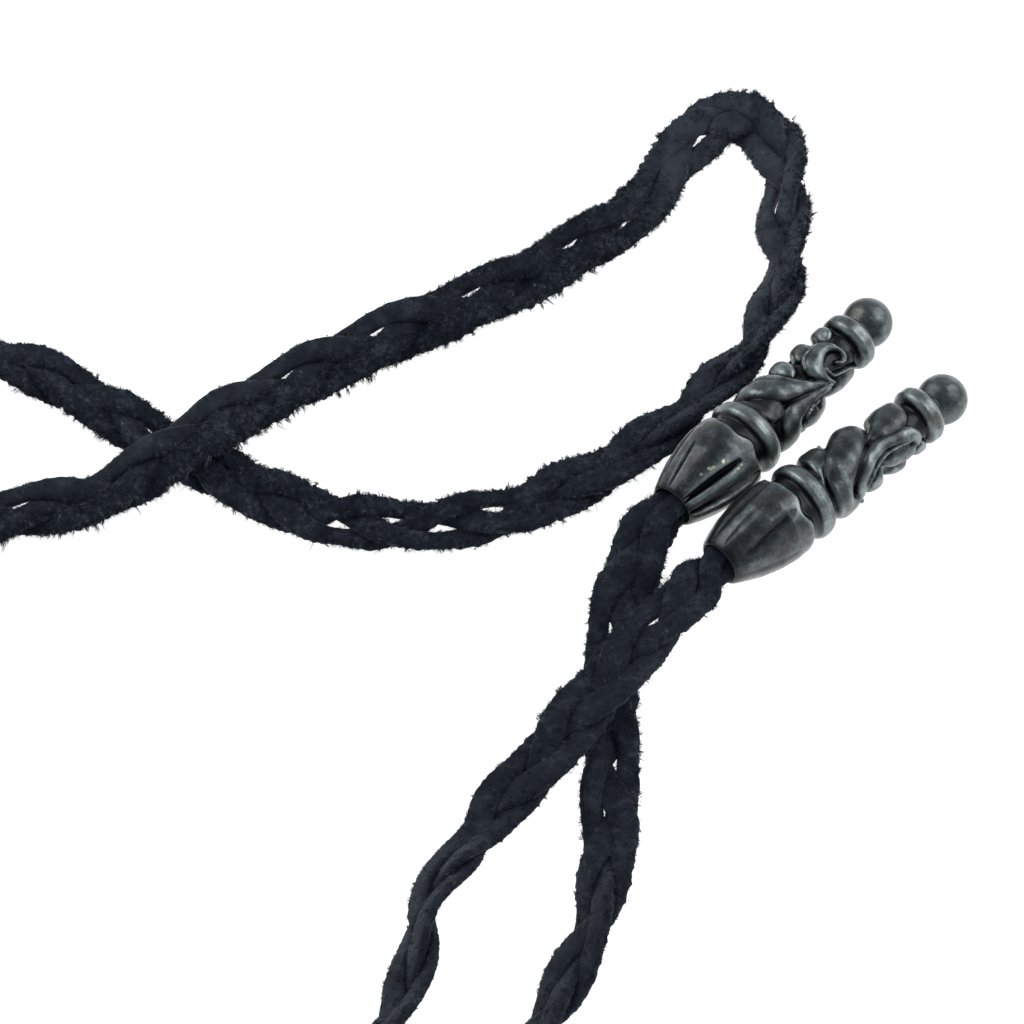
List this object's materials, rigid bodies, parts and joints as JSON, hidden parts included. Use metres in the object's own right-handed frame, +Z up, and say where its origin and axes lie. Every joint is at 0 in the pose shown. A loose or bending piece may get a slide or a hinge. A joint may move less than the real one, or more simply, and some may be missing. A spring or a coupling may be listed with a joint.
{
  "type": "braided leather necklace with cast end caps",
  "caption": "Long open necklace of flat plaited black leather, lying doubled in a loose ring, with a matching cast and oxidised silver end cap on each free end",
  "frame": {"origin": "on the surface the necklace lies on, under the middle of its footprint", "axes": "+Z up from that surface; +X runs across the necklace from the hidden ring towards the end caps; +Y points away from a viewer who has the end caps at the right"},
  "size_m": [0.1686, 0.1638, 0.0093],
  "materials": {
    "black_leather": "blue-black suede lace, fuzzy at its cut edges, with a smoother grain face and a slight sheen",
    "oxidised_silver": "cast silver, darkened in the recesses and softly polished on the raised scrollwork"
  },
  "bodies": {
    "root": {"braid": "black_leather", "end_cap_left": "oxidised_silver", "end_cap_right": "oxidised_silver"}
  },
  "joints": []
}
